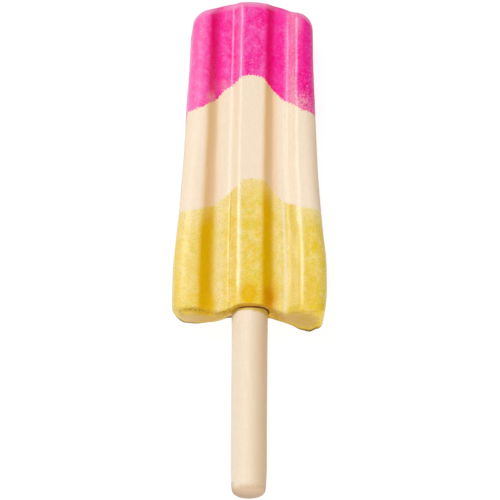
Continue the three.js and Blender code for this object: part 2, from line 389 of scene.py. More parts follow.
def stick_profile():
    """Radius and height of each ring of the stick, from the middle of its free end upwards."""
    inner = STICK_RADIUS_MM - STICK_TAPER_MM - STICK_END_ROUNDING_MM
    share = np.linspace(STICK_DOME_STARTS, 1, STICK_DOME_RINGS, endpoint=False)
    angle = np.linspace(0, math.pi / 2, STICK_EDGE_RINGS)
    edge = STICK_END_DOME_MM + STICK_END_ROUNDING_MM * (1 - np.cos(angle))
    length = STICK_TOP_MM - STICK_END_MM - STICK_SANDED_OFF_MM
    up = np.linspace(edge[-1] + STICK_FIRST_STEP_MM, length, STICK_LONG_RINGS)
    past = (up - STICK_TAPER_STARTS_MM) / (STICK_TAPER_ENDS_MM - STICK_TAPER_STARTS_MM)
    taper = STICK_TAPER_MM * clamp01(1 - past) ** 2
    rounded = inner + STICK_END_ROUNDING_MM * np.sin(angle)
    radii = np.concatenate([inner * share, rounded, STICK_RADIUS_MM - taper])
    heights = np.concatenate([STICK_END_DOME_MM * share**2, edge, up])
    return radii, heights + STICK_END_MM + STICK_SANDED_OFF_MM


def stick_mesh():
    radii, heights = stick_profile()
    angle = np.linspace(0, 2 * math.pi, STICK_ROUND, endpoint=False)
    ring, angle = np.meshgrid(np.arange(len(radii)), angle, indexing="ij")
    radius = radii[ring]
    height = heights[ring]
    reach = STICK_WAVER_REACH_MM
    bumps = waver(np.cos(angle) * reach, height + np.sin(angle) * reach, reach, STICK_SEED)
    around = STICK_WAVER_MM * bumps - STICK_SHAVED_MM
    radius = radius + around * clamp01(radius - 1)
    points = np.stack([radius * np.sin(angle), height, radius * np.cos(angle)], axis=-1)
    points = points.reshape(-1, 3)
    middles = [[0, heights[0], 0], [0, heights[-1], 0]]
    grid = np.arange(len(radii) * STICK_ROUND).reshape(len(radii), STICK_ROUND)
    following = np.roll(grid, -1, axis=1)
    quads = np.stack([grid[:-1], following[:-1], following[1:], grid[1:]], axis=-1).reshape(-1, 4)
    low = [[len(points), b, a] for a, b in zip(grid[0], following[0])]
    high = [[len(points) + 1, a, b] for a, b in zip(grid[-1], following[-1])]
    return np.concatenate([points, middles]), [*quads.tolist(), *low, *high]


# ---- pieces


def new_object(name, data):
    made = bpy.data.objects.new(name, data)
    bpy.context.scene.collection.objects.link(made)
    return made


def make_piece(name, points, faces):
    """A smooth-shaded object of points given in the lolly's own millimetres."""
    mesh = bpy.data.meshes.new(name)
    placed = points * MM + np.array(ORIGIN)
    mesh.from_pydata(placed.tolist(), [], faces)
    mesh.validate()
    mesh.shade_smooth()
    return new_object(name, mesh)


def drill_socket(head):
    """Cuts the round hole that the stick stands in."""
    angle = np.linspace(0, 2 * math.pi, STICK_ROUND, endpoint=False)
    ring = np.stack([np.sin(angle), np.zeros_like(angle), np.cos(angle)], axis=-1) * SOCKET_RADIUS_MM
    outside = ring + [SOCKET_SHIFT_MM, -DRILL_RUN_OUT_MM, 0]
    inside = ring + [SOCKET_SHIFT_MM, SOCKET_DEPTH_MM, 0]
    count = STICK_ROUND
    faces = [[i, (i + 1) % count, (i + 1) % count + count, i + count] for i in range(count)]
    faces += [list(range(count))[::-1], list(range(count, 2 * count))]
    drill = make_piece("drill", np.concatenate([outside, inside]), faces)
    cut = head.modifiers.new("socket", "BOOLEAN")
    cut.operation = "DIFFERENCE"
    cut.solver = "EXACT"
    cut.object = drill
    bpy.context.view_layer.objects.active = head
    bpy.ops.object.modifier_apply(modifier=cut.name)
    bpy.data.objects.remove(drill)


def own_points(piece):
    """The points of a piece in the lolly's own millimetres."""
    points = np.empty(len(piece.data.vertices) * 3)
    piece.data.vertices.foreach_get("co", points)
    return (points.reshape(-1, 3) - np.array(ORIGIN)) / MM


def set_values(piece, name, values):
    """Stores one number for each point of a piece, for its material to read."""
    layer = piece.data.attributes.new(name, "FLOAT", "POINT")
    layer.data.foreach_set("value", np.asarray(values, dtype=np.float32))


# ---- where the dye and the painted shade lie on the head


def ellipse(x, z, centre, reach):
    """1 at the middle of an ellipse, 0 on its edge and less outside."""
    return 1 - ((x - centre[0]) / reach[0]) ** 2 - ((z - centre[1]) / reach[1]) ** 2


def pool(x, y, centre, reach):
    """1 in the middle of a soft patch, and less around it."""
    return np.exp(-(((x - centre[0]) / reach[0]) ** 2) - ((y - centre[1]) / reach[1]) ** 2)


def strongest(x, y, pools):
    """The most that any of several patches gives; each has its strength, its middle and its reach."""
    return np.maximum.reduce([most * pool(x, y, centre, reach) for most, centre, reach in pools])


# The dye's edges rise over the centre rib: their heights at these places, from left to right.
DYE_EDGE_PLACES_MM = (-14.0, -10.8, -8.2, -6.3, -3.4, -2.4, 0.0, 2.4, 3.4, 6.3, 8.2, 10.8, 14.0)
PINK_EDGE_MM = (48.1, 48.8, 50.8, 53.4, 55.6, 56.6, 56.9, 56.6, 55.2, 52.6, 51.0, 48.9, 48.1)
YELLOW_EDGE_MM = (23.9, 24.6, 25.8, 27.3, 30.4, 31.6, 32.1, 31.9, 30.8, 27.9, 26.5, 25.5, 25.0)


def dye_height(x, y, edge):
    wander = DYE_WAVER_MM * waver(x, y, DYE_WAVER_REACH_MM, DYE_SEED)
    return np.interp(x, DYE_EDGE_PLACES_MM, edge) + wander


def over_end_face(x, y, z):
    """How far a place is from the end face, towards the tip; it is kept between -1 and 6."""
    return np.clip(y - base_rise(x, z), -1, 6)


def below_tip(x, y):
    """How far a place is from the tip's outline, towards the stick."""
    return HEAD_LENGTH_MM - tip_drop(x, half_width(y)) - y


SIDE_LIMIT_MM = 20.0  # distances from the sides are kept up to this


def places_on_head(x, y, z):
    """How far each point is from the dye's edges, the ribs' edges, the sides and the end face."""
    width = half_width(y)
    place = from_section_middle(x, y)
    return {
        "above_pink_edge": y - dye_height(x, y, PINK_EDGE_MM),
        "below_yellow_edge": dye_height(x, y, YELLOW_EDGE_MM) - y,
        "groove": groove_share(x, y),
        "from_rib_edge": place + drifting(CENTRE_RIB_EDGE_MM, width),
        "from_rib_foot": place + drifting(GROOVE_INNER_EDGE_MM, width),
        "from_lobe_edge": place - drifting(LOBE_EDGE_MM, width),
        "from_left": np.clip(x + width, 0, SIDE_LIMIT_MM),
        "from_right": np.clip(width - x, 0, SIDE_LIMIT_MM),
        "over_end": over_end_face(x, y, z),
    }


# The groove walls: which side of the middle, top, foot, and a share: of painted shade on the walls
# that face away from the key light and low on the centre rib's left wall, of wear on the right lobe's
# wall.
WALLS_FACING_RIGHT = (
    (-1, LOBE_EDGE_MM, GROOVE_OUTER_EDGE_MM, 1.0),
    (1, CENTRE_RIB_EDGE_MM, GROOVE_INNER_EDGE_MM, 1.0),
)
WALL_FOOT_OF_RIB = ((-1, CENTRE_RIB_EDGE_MM, GROOVE_INNER_EDGE_MM, 0.25),)
WALL_OF_RIGHT_LOBE = ((1, LOBE_EDGE_MM, GROOVE_OUTER_EDGE_MM, 1.0),)
# Shares of a wall's width: how far the painted shade reaches past its top and foot (less than 0 stops
# short), over how much a wall's share starts at the top, and where it ends without that reach.
WALL_REACH = 0.3
WALL_FOOT_REACH = -0.1
WALL_STARTS_OVER = 0.6
WALL_ENDS_AT = 1.1
# The painted wall shade fades near the tip on the left: between these distances from it, to this share.
WALL_SHADE_FADES_MM = (0.6, 3.0)
WALL_SHADE_LEFT_AT_TIP = 0.5

# The yellow grows deeper towards the base, most on the ribs.
DEEPENS_AT_MM = (-16.0, -11.0, -8.0, -4.0, -2.0, 2.0, 4.0, 8.0, 11.0, 14.0)
DEEPENS_BY = (0.95, 0.3, 0.0, 0.0, 0.5, 0.5, 0.0, 0.05, 0.55, 0.5)
DEEPENS_MM = (1.0, 23.0)  # none and all of it, below the yellow's edge
DEEPENS_POWER = 1.4
# On the right lobe it is deeper close below its edge: from where in x, and its start and end there.
LOBE_TOP_DEEPER_BY = 0.42
LOBE_TOP_X_MM = (10.5, 12.5)
LOBE_TOP_STARTS_MM = (0.0, 2.0)
LOBE_TOP_ENDS_MM = (16.0, 9.0)

# Pools of darker dye near the base.
GOLD_POOLS = (
    (2.2, (-0.6, 3.9), (1.5, 2.1)),
    (0.25, (12.8, 5.0), (2.4, 4.0)),
    (0.7, (5.3, 4.6), (0.9, 2.6)),
    (1.0, (-9.2, 1.8), (1.3, 2.2)),
)
BROWN_POOLS = ((1.3, (3.9, 3.3), (1.2, 2.8)),)


def wall_share(signed, y, walls, reach):
    """1 on the groove walls given by their tops and feet, 0 away from them."""
    width = half_width(y)
    x = from_section_middle(signed, y)
    share = np.zeros_like(x)
    for side, top, foot, most in walls:
        top, foot = side * drifting(top, width), side * drifting(foot, width)
        down = (x - top) / (foot - top)
        wall = soft_step((down + reach) / WALL_STARTS_OVER) * soft_step(WALL_ENDS_AT + reach - down)
        share = np.maximum(share, most * wall)
    return share


def wall_shade_and_dye_pools(x, y, z):
    """Painted shade on groove walls, and where the dye lies deeper: towards the base and in pools."""
    wall_shade = wall_share(x, y, WALLS_FACING_RIGHT, WALL_REACH)
    wall_shade = np.maximum(wall_shade, wall_share(x, y, WALL_FOOT_OF_RIB, WALL_FOOT_REACH))
    faded = WALL_SHADE_LEFT_AT_TIP + (1 - WALL_SHADE_LEFT_AT_TIP) * grown(below_tip(x, y), *WALL_SHADE_FADES_MM)
    below_edge = dye_height(x, y, YELLOW_EDGE_MM) - y
    deepened = np.interp(x, DEEPENS_AT_MM, DEEPENS_BY)
    deepened = deepened * grown(below_edge, *DEEPENS_MM) ** DEEPENS_POWER
    lobe_top = grown(below_edge, *LOBE_TOP_STARTS_MM) * grown(below_edge, *LOBE_TOP_ENDS_MM)
    lobe_top = lobe_top * grown(x, *LOBE_TOP_X_MM)
    shown = z > 0
    return {
        "wall_shade": wall_shade * np.where(x < 0, faded, 1),
        "deepened": deepened + LOBE_TOP_DEEPER_BY * lobe_top,
        "gold_pool": clamp01(strongest(x, y, GOLD_POOLS)) * shown,
        "brown_pool": clamp01(strongest(x, y, BROWN_POOLS)) * shown,
    }


# The pale worn edge of the tip: none and all of it, below the tip's outline and by z; two places
# on it kept their dye, and one below it lost its own.
PALE_TIP_BELOW_MM = (1.9, 1.0)
PALE_TIP_Z_MM = (2.0, 3.4)
DYE_KEPT_AT_TIP = ((0.85, (6.5, 74.0), (2.9, 6.0)), (0.7, (-7.2, 74.0), (1.3, 6.0)))
DYE_LOST_BELOW_TIP = ((0.6, (10.0, 70.6), (1.0, 3.0)),)
TIP_LIMIT_MM = 10.0  # distances from the tip are kept up to this

# The right lobe's wall is worn in the pink: its strength, and the heights between which half of
# that is added.
WORN_WALL = 1.7
WORN_WALL_MM = (61.0, 53.0)
WORN_POOLS = (
    (0.9, (10.7, 50.8), (2.0, 1.8)),
    (0.4, (12.9, 49.6), (1.6, 2.0)),
    (0.5, (-6.4, 54.6), (1.8, 1.5)),
    (0.8, (-9.3, 51.2), (1.0, 1.6)),
)
# A brownish patch along the left groove's wall near the pink's edge.
BROWNED_POOLS = ((1.0, (-9.1, 55.0), (0.8, 7.0)),)
SPECKLED_POOLS = ((0.6, (12.0, 52.0), (2.6, 4.5)),)


def worn_dye(x, y, z):
    """Where the pink is worn: along the tip's edge, on a wall and in patches; and a brownish patch on the
    left groove's wall.
    """
    shown = z > 0
    from_tip = below_tip(x, y)
    pale_tip = grown(from_tip, *PALE_TIP_BELOW_MM) * grown(z, *PALE_TIP_Z_MM)
    for most, centre, reach in DYE_KEPT_AT_TIP:
        pale_tip = pale_tip * (1 - most * pool(x, y, centre, reach))
    worn = clamp01(WORN_WALL * wall_share(x, y, WALL_OF_RIGHT_LOBE, 0.0))
    worn = worn * (0.5 + 0.5 * grown(y, *WORN_WALL_MM))
    return {
        "pale_tip": np.maximum(pale_tip, strongest(x, y, DYE_LOST_BELOW_TIP) * shown),
        "from_tip": np.clip(from_tip, 0, TIP_LIMIT_MM),
        "worn_pale": np.maximum(worn, strongest(x, y, WORN_POOLS)) * shown,
        "brown_wall_patch": strongest(x, y, BROWNED_POOLS) * shown,
        "speckled": strongest(x, y, SPECKLED_POOLS) * shown,
    }


# The end face: two patches of bare wood, as the middle and the reach of ellipses in x and z.
BARE_LEFT_MM = ((-11.4, -0.7), (6.2, 3.6))
BARE_RIGHT_MM = ((11.0, 0.2), (5.6, 4.4))
BARE_ENDS_OVER_MM = 0.5  # over the end face they fade from here on
BARE_ENDS_FAST = 1.5
# The front edge over the stick, darker from wear and from painted shade of its rounding, as an ellipse in
# x and the distance over the end face.
LIP_MM = ((0.0, 0.0), (4.2, 0.45))
LIP_FROM_Z_MM = 3.0
# How strong the painted shade is on the end face, and by how much and where it is lighter.
END_SHADE_PLACES_MM = (-16.0, -9.0, -5.5, 5.5, 9.0, 12.0, 16.0)
END_SHADE_SHARES = (0.2, 0.4, 1.0, 1.0, 0.8, 0.4, 0.6)
END_SHADE_OVER_MM = (0.3, 0.0)
END_PALER_BY = 0.6
END_PALER_Z_MM = (0.6, 3.2)
END_PALER_X_MM = (3.5, 4.5)
# Painted shade along the front edges of the lobes, where they turn down to the end face, in x and the
# distance over the end face.
EDGE_SHADE_POOLS = ((0.9, (-12.6, -0.02), (4.6, 0.42)), (0.35, (11.2, 0.3), (3.8, 0.45)))
SAWN_OVER_MM = (0.5, 0.0)
# Painted shade along the underside of the end, next to the floor: z where it starts, and how far up it
# reaches.
RIM_PLACES_MM = (-16.0, -11.0, -6.5, -4.5, 5.0, 11.0, 16.0)
RIM_TOPS_MM = (-2.2, -2.5, -2.2, -1.3, -2.4, -3.3, -2.8)
RIM_SOFTNESS_MM = 0.8
RIM_OVER_MM = (1.6, 0.8)
IN_SOCKET_MARGIN_MM = 0.02


def end_face(x, y, z):
    """The bare places at the head's base, the lip's wear and painted shade, and painted shade on the end
    face, its front edges, its underside and inside the stick's hole.
    """
    over_end = over_end_face(x, y, z)
    bare = np.maximum(ellipse(x, z, *BARE_LEFT_MM), ellipse(x, z, *BARE_RIGHT_MM))
    lip = np.clip(ellipse(x, over_end, *LIP_MM), -2, 1)
    paler = grown(z, *END_PALER_Z_MM) * grown(x, *END_PALER_X_MM)
    end_shade = np.interp(x, END_SHADE_PLACES_MM, END_SHADE_SHARES) * (1 - END_PALER_BY * paler)
    end_shade = end_shade * grown(over_end, *END_SHADE_OVER_MM)
    edge_shade = strongest(x, over_end, EDGE_SHADE_POOLS) * (z > 0)
    rim = clamp01((np.interp(x, RIM_PLACES_MM, RIM_TOPS_MM) - z) / RIM_SOFTNESS_MM)
    in_socket = SOCKET_RADIUS_MM + IN_SOCKET_MARGIN_MM - np.hypot(x - SOCKET_SHIFT_MM, z)
    return {
        "bare_end": bare - np.clip(over_end - BARE_ENDS_OVER_MM, 0, 6) * BARE_ENDS_FAST,
        "lip_wear_and_shade": lip - np.where(z > LIP_FROM_Z_MM, 0, 3),
        "end_shade": np.maximum(end_shade, edge_shade),
        "sawn": grown(over_end, *SAWN_OVER_MM),
        "rim": rim * grown(over_end, *RIM_OVER_MM),
        "in_socket": np.where(y < SOCKET_DEPTH_MM + 1, np.clip(in_socket, -1, 1), -1),
    }


def describe_head(head):
    x, y, z = own_points(head).T
    for described in (places_on_head, wall_shade_and_dye_pools, worn_dye, end_face):
        for name, values in described(x, y, z).items():
            set_values(head, name, values)


# The hole's painted shadow starts on the stick this far below the end face, most at this x.
DARK_STARTS_MM = 0.36
DARK_MIDDLE_MM = -0.3
DARK_REACH_MM = 2.6
FREE_END_MM = 2.5  # the free end's underside is shaded up to here
NOT_SHADED_MM = -4.0


def describe_stick(stick):
    x, y, z = own_points(stick).T
    above_entry = y - base_rise(x, z)
    dark = DARK_STARTS_MM * np.exp(-(((x - DARK_MIDDLE_MM) / DARK_REACH_MM) ** 4))
    above_free_end = y - STICK_END_MM
    set_values(stick, "above_entry", above_entry)
    set_values(stick, "over_rim", above_entry + dark)
    set_values(stick, "above_free_end", above_free_end)
    set_values(stick, "across", x)
    set_values(stick, "below_middle", np.where(above_free_end < FREE_END_MM, -z, NOT_SHADED_MM))


# ---- material helpers


class Nodes:
    """Builds a material's node tree with short calls.

    Where a call takes a value, a name stands for the texture or the attribute of that name.
    """

    def __init__(self, name, textures=None):
        self.material = bpy.data.materials.new(name)
        self.material.use_nodes = True
        self.tree = self.material.node_tree
        self.tree.nodes.clear()
        self.output = self.tree.nodes.new("ShaderNodeOutputMaterial")
        self.values = {key: self.noise(*texture) for key, texture in (textures or {}).items()}

    def put(self, socket, value):
        if isinstance(value, str):
            value = self.named(value)
        if isinstance(value, bpy.types.NodeSocket):
            self.tree.links.new(value, socket)
        elif isinstance(value, (tuple, list)) and len(value) == 3 and socket.type == "RGBA":
            socket.default_value = (*value, 1)
        else:
            socket.default_value = value

    def named(self, name):
        if name not in self.values:
            node = self.tree.nodes.new("ShaderNodeAttribute")
            node.attribute_name = name
            self.values[name] = node.outputs["Fac"]
        return self.values[name]

    def math(self, operation, a, b=0.0, c=0.0, clamp=False):
        node = self.tree.nodes.new("ShaderNodeMath")
        node.operation = operation
        node.use_clamp = clamp
        for socket, value in zip(node.inputs, (a, b, c)):
            self.put(socket, value)
        return node.outputs[0]

    def times(self, a, b, clamp=False):
        return self.math("MULTIPLY", a, b, clamp=clamp)

    def position(self, stretch):
        """The place on the piece in millimetres, times stretch along each axis."""
        place = self.tree.nodes.new("ShaderNodeTexCoord").outputs["Object"]
        node = self.tree.nodes.new("ShaderNodeVectorMath")
        node.operation = "MULTIPLY"
        self.put(node.inputs[0], place)
        self.put(node.inputs[1], [value / MM for value in stretch])
        return node.outputs[0]

    def noise(self, stretch, detail, rough, distort=0.0):
        node = self.tree.nodes.new("ShaderNodeTexNoise")
        self.put(node.inputs["Vector"], self.position(stretch))
        self.put(node.inputs["Scale"], 1.0)
        self.put(node.inputs["Detail"], detail)
        self.put(node.inputs["Roughness"], rough)
        self.put(node.inputs["Distortion"], distort)
        return node.outputs["Fac"]

    def span(self, value, low, high, to_low=0.0, to_high=1.0, smooth=False):
        """Turns values from low to high into those from to_low to to_high, and goes no further."""
        node = self.tree.nodes.new("ShaderNodeMapRange")
        node.interpolation_type = "SMOOTHSTEP" if smooth else "LINEAR"
        for socket, number in zip(node.inputs, (value, low, high, to_low, to_high)):
            self.put(socket, number)
        return node.outputs[0]

    def mix(self, share, a, b, blend="MIX"):
        node = self.tree.nodes.new("ShaderNodeMix")
        node.data_type = "RGBA"
        node.blend_type = blend
        self.put(node.inputs["Factor"], share)
        self.put(node.inputs["A"], a)
        self.put(node.inputs["B"], b)
        return node.outputs["Result"]

    def bump(self, height, distance_mm, strength, under=None):
        node = self.tree.nodes.new("ShaderNodeBump")
        node.inputs["Strength"].default_value = strength
        node.inputs["Distance"].default_value = distance_mm * MM
        self.put(node.inputs["Height"], height)
        if under is not None:
            self.put(node.inputs["Normal"], under)
        return node.outputs[0]

    def shader(self, **inputs):
        node = self.tree.nodes.new("ShaderNodeBsdfPrincipled")
        for name, value in inputs.items():
            self.put(node.inputs[name.replace("_", " ")], value)
        self.tree.links.new(node.outputs[0], self.output.inputs["Surface"])
        return self.material


def layered(n, colour, layers):
    """Colours over a colour: each names what it goes by, where it is none and most, and its share."""
    for name, none_at, most_at, share, over in layers:
        colour = n.mix(n.span(name, none_at, most_at, 0, share), colour, over)
    return colour


def band(n, distance, centre, reach, most):
    """A soft line along the head where a distance is at centre; it ends at reach on both sides."""
    away = n.math("ABSOLUTE", n.math("SUBTRACT", distance, centre))
    return n.span(away, 0.0, reach, most, 0.0, smooth=True)


def banded(n, colour, bands):
    """Bands over a colour, one after the other; each is given as in band, and its colour."""
    for *where, over in bands:
        colour = n.mix(band(n, *where), colour, over)
    return colour


def two_bands(n, first, second):
    return n.math("MAXIMUM", band(n, *first), band(n, *second))


def ragged(n, value, texture, amount):
    """A value that a texture shifts by up to half the amount each way."""
    return n.math("MULTIPLY_ADD", n.math("SUBTRACT", texture, 0.5), amount, value)


def uneven(n, share, texture, amount):
    """A share of 0 to 1 that a texture makes weaker here and stronger there."""
    return n.times(share, ragged(n, 1.0, texture, amount), clamp=True)


def srgb(red, green, blue):
    """A colour given as screen values of 0 to 255, as Blender's linear colour."""
    shares = (value / 255 for value in (red, green, blue))
    return tuple(s / 12.92 if s <= 0.04045 else ((s + 0.055) / 1.055) ** 2.4 for s in shares)


# ---- the head's materials

# Textures: how fine they are along x, y and z, their detail, roughness and distortion.
HEAD_TEXTURES = {
    "fibre": ((5.0, 0.8, 5.0), 3.0, 0.6),
    "mottle": ((0.5, 0.36, 0.5), 4.0, 0.6, 0.6),
    "tint": ((0.75, 0.6, 0.75), 3.0, 0.55, 0.4),
    "stroke": ((0.9, 1.5, 0.9), 3.0, 0.6, 1.5),
    "speckle": ((2.4, 2.1, 2.4), 2.0, 0.6),
    "grain": ((3.6, 3.0, 3.6), 2.0, 0.6),
    "streak": ((0.5, 2.5, 2.6), 3.0, 0.6),
    "pore": ((2.6, 2.0, 2.6), 2.0, 0.6),
    "ripple": ((1.3, 0.7, 1.3), 3.0, 0.6),
    "gloss": ((0.5, 0.22, 0.5), 3.0, 0.6),
}

BARE = srgb(250, 231, 205)
BARE_GRAIN = srgb(238, 214, 184)
# Darker tan, for painted shade and for the wood's pores.
BARE_SHADE_AND_PORES = srgb(238, 195, 141)
# Painted highlight colour.
BARE_HIGHLIGHT = srgb(255, 247, 232)

# The rows of layers: what one goes by, where it is none and most, its share, its colour. Those of
# bands: a distance, where its middle is, reach, share, colour. Later rows lie over earlier ones.
BARE_LAYERS = (
    ("fibre", 0.4, 0.75, 0.5, BARE_GRAIN),
    # painted shade along the right side, which faces away from the key light
    ("from_right", 3.0, 0.5, 0.3, BARE_SHADE_AND_PORES),
    ("pore", 0.34, 0.26, 0.35, BARE_SHADE_AND_PORES),
)
# Painted highlight lines at the feet of the walls that face left, towards the key light.
BARE_HIGHLIGHT_LINES = (("from_rib_foot", -0.1, 0.32, 0.5), ("from_lobe_edge", -3.0, 0.3, 0.4))
# Painted shade in the right groove, next to the centre rib's shaded wall.
BARE_GROOVE_SHADE = (("from_lobe_edge", -5.3, 1.7, 0.4, BARE_SHADE_AND_PORES),)


def bare_colour(n):
    bare = layered(n, BARE, BARE_LAYERS)
    # painted highlight lines
    bare = n.mix(two_bands(n, *BARE_HIGHLIGHT_LINES), bare, BARE_HIGHLIGHT)
    # painted shade in the right groove
    bare = banded(n, bare, BARE_GROOVE_SHADE)
    # painted shade on the groove walls that face away from the key light
    return n.mix("wall_shade", bare, BARE_SHADE_AND_PORES)


PINK = srgb(255, 78, 180)
PINK_DEEP = srgb(255, 8, 150)
PINK_PALE = srgb(255, 138, 202)
# Deep crimson, for painted shade and for dark specks.
PINK_SHADE_AND_SPECKS = srgb(250, 0, 114)
# Painted highlight colour.
PINK_HIGHLIGHT = srgb(255, 176, 222)
PINK_TIP = srgb(255, 164, 206)
PINK_WORN = srgb(250, 158, 184)
PINK_BROWNED = srgb(226, 84, 110)
PINK_SPECK = srgb(196, 16, 76)

PINK_LAYERS = (
    ("mottle", 0.39, 0.61, 1.0, PINK_DEEP),
    ("tint", 0.54, 0.68, 0.4, PINK_PALE),
    ("from_right", 6.0, 3.5, 0.6, PINK_DEEP),
    ("stroke", 0.56, 0.74, 0.7, PINK_PALE),
    ("speckle", 0.54, 0.7, 0.25, PINK_PALE),
    ("speckle", 0.46, 0.3, 0.2, PINK_SHADE_AND_SPECKS),
    # The next two rows: painted sheen on the left lobe, which faces the key light, and a painted
    # highlight along its left side.
    ("from_left", 13.0, 0.0, 0.22, PINK_PALE),
    ("from_left", 1.8, 0.0, 0.45, PINK_HIGHLIGHT),
    # painted shade on the groove walls that face away from the key light
    ("wall_shade", 0.0, 1.0, 0.95, PINK_SHADE_AND_SPECKS),
)
WORN_BROKEN = 3.0
BROWNED_BROKEN = 9.0
BROWNED_SHARE = 0.35
# Worn dye with a painted highlight along the centre rib's left edge.
PINK_RIB_EDGE_WEAR_AND_HIGHLIGHT = ("from_rib_edge", -0.6, 1.5, 0.5, PINK_PALE)
PINK_RUBBED = ("from_lobe_edge", -2.2, 1.1, 0.6)
PINK_RUBBED_FROM_TIP_MM = (2.0, 6.0)
PINK_GROOVE_BANDS = (
    # a painted highlight line at the foot of the centre rib's left wall
    ("from_rib_foot", 0.0, 0.24, 0.55, PINK_HIGHLIGHT),
    ("from_lobe_edge", -4.2, 1.8, 0.65, PINK_DEEP),
    ("from_rib_foot", -2.6, 1.0, 0.6, PINK_DEEP),
)
PINK_ON_LOBE = ("from_lobe_edge", 1.4, 1.5, 0.75)
PINK_ON_LOBE_ABOVE_EDGE_MM = (3.0, 9.0)
SPECKS_NEAR_EDGE = (4.5, 0.5, 0, 0.15)  # above the pink's edge: none at, most at, and from none to most
DARK_SPECKS = (0.46, 0.38)
PALE_SPECKS = (0.56, 0.64)
PALE_TIP_SHARE = 0.75


def worn_and_brown_pink(n, pink):
    pink = n.mix(uneven(n, "worn_pale", "speckle", WORN_BROKEN), pink, PINK_WORN)
    browned = n.times(uneven(n, "brown_wall_patch", "speckle", BROWNED_BROKEN), BROWNED_SHARE)
    return n.mix(browned, pink, PINK_BROWNED)


def banded_pink(n, pink):
    """The pink's pale and deep lines along the ribs and grooves, some of them painted highlights."""
    pink = banded(n, pink, [PINK_RIB_EDGE_WEAR_AND_HIGHLIGHT])
    rubbed = n.times(band(n, *PINK_RUBBED), n.span("from_tip", *PINK_RUBBED_FROM_TIP_MM))
    pink = n.mix(uneven(n, rubbed, "speckle", WORN_BROKEN), pink, PINK_PALE)
    pink = banded(n, pink, PINK_GROOVE_BANDS)
    above_edge = n.span("above_pink_edge", *PINK_ON_LOBE_ABOVE_EDGE_MM)
    return n.mix(n.times(band(n, *PINK_ON_LOBE), above_edge), pink, PINK_DEEP)


def speckled_pink(n, pink):
    """Dark and pale specks near the pink's edge and in the patches that are speckled."""
    near_edge = n.span("above_pink_edge", *SPECKS_NEAR_EDGE)
    speckled = n.math("MAXIMUM", near_edge, "speckled")
    pink = n.mix(n.times(n.span("speckle", *DARK_SPECKS), speckled), pink, PINK_SPECK)
    return n.mix(n.times(n.span("speckle", *PALE_SPECKS), speckled), pink, PINK_PALE)


def pink_colour(n):
    pink = layered(n, PINK, PINK_LAYERS)
    pink = worn_and_brown_pink(n, pink)
    pink = banded_pink(n, pink)
    pink = speckled_pink(n, pink)
    return n.mix(n.times("pale_tip", PALE_TIP_SHARE), pink, PINK_TIP)


YELLOW = srgb(252, 225, 144)
YELLOW_DEEP = srgb(246, 210, 74)
YELLOW_DEEPEST = srgb(244, 206, 20)
YELLOW_WARM = srgb(250, 208, 84)
YELLOW_GREENISH = srgb(230, 212, 64)
YELLOW_PALE = srgb(250, 230, 174)
# Deep yellow, for painted shade and for dark specks.
YELLOW_SHADE_AND_SPECKS = srgb(232, 178, 0)
# Painted shade colour for the right lobe's left wall.
YELLOW_WALL_SHADE = srgb(230, 198, 78)
# Pale cream, for worn dye and painted highlights.
YELLOW_WEAR_AND_HIGHLIGHT = srgb(255, 240, 204)
YELLOW_LINE = srgb(200, 156, 36)
# Colours of the painted shade on the end face.
YELLOW_END_SHADE = srgb(182, 138, 24)
YELLOW_END_SHADE_PALE = srgb(224, 186, 62)
GOLD_POOL = srgb(240, 188, 4)
BROWN_POOL = srgb(222, 144, 0)
# Painted shade colour for the underside.
RIM_SHADE = srgb(120, 92, 12)

YELLOW_UNDER_LAYERS = (
    ("mottle", 0.36, 0.64, 1.0, YELLOW_DEEP),
    ("tint", 0.55, 0.7, 0.6, YELLOW_WARM),
    ("tint", 0.47, 0.34, 0.75, YELLOW_GREENISH),
)
DEEPENED_BROKEN = 2.5
YELLOW_OVER_LAYERS = (
    ("stroke", 0.54, 0.72, 0.6, YELLOW_PALE),
    ("speckle", 0.4, 0.3, 0.3, YELLOW_SHADE_AND_SPECKS),
    # painted sheen on the left lobe, which faces the key light
    ("from_left", 11.0, 0.0, 0.28, YELLOW_PALE),
    ("below_yellow_edge", 6.0, 0.0, 0.5, YELLOW_PALE),
)
YELLOW_RIB_BANDS = (("from_rib_foot", -3.4, 1.2, 0.55, YELLOW_DEEP),)
WALL_SHADE_WHOLE_AT = 0.85
WALL_SHADE_BELOW_EDGE = (0.5, 5.0, 0.6, 1)  # painted wall shade: millimetres below the yellow's edge, and its shares there
# Worn dye with a painted highlight along the left edges of the centre rib and the right lobe, less near
# the end face.
YELLOW_EDGE_WEAR_AND_HIGHLIGHT = (("from_rib_edge", -0.3, 0.9, 0.5), ("from_lobe_edge", -0.3, 0.8, 0.25))
YELLOW_EDGE_BANDS_OVER_END_MM = (2.0, 5.5)
YELLOW_FLOORS = (("from_rib_foot", -1.6, 1.6, 0.45), ("from_lobe_edge", -4.8, 1.8, 0.2))
YELLOW_WALL_BANDS = (
    # painted shade over the right lobe's left wall, which faces the key light
    ("from_lobe_edge", -2.1, 1.5, 1.1, YELLOW_WALL_SHADE),
    # a painted highlight line at the foot of the right lobe's left wall
    ("from_lobe_edge", -3.55, 0.65, 0.65, YELLOW_WEAR_AND_HIGHLIGHT),
)
YELLOW_DARK_LINE = ("from_rib_foot", 0.5, 0.32, 0.35)
STROKES = 1.5  # how far brush strokes break up the shares of the yellow
STROKES_IN_LINE = 2.0
END_SHADE_SPECKLE = (0.4, 0.62)


def dyed_yellow(n):
    """The yellow's own unevenness."""
    yellow = layered(n, YELLOW, YELLOW_UNDER_LAYERS)
    yellow = n.mix(uneven(n, "deepened", "mottle", DEEPENED_BROKEN), yellow, YELLOW_DEEPEST)
    return layered(n, yellow, YELLOW_OVER_LAYERS)


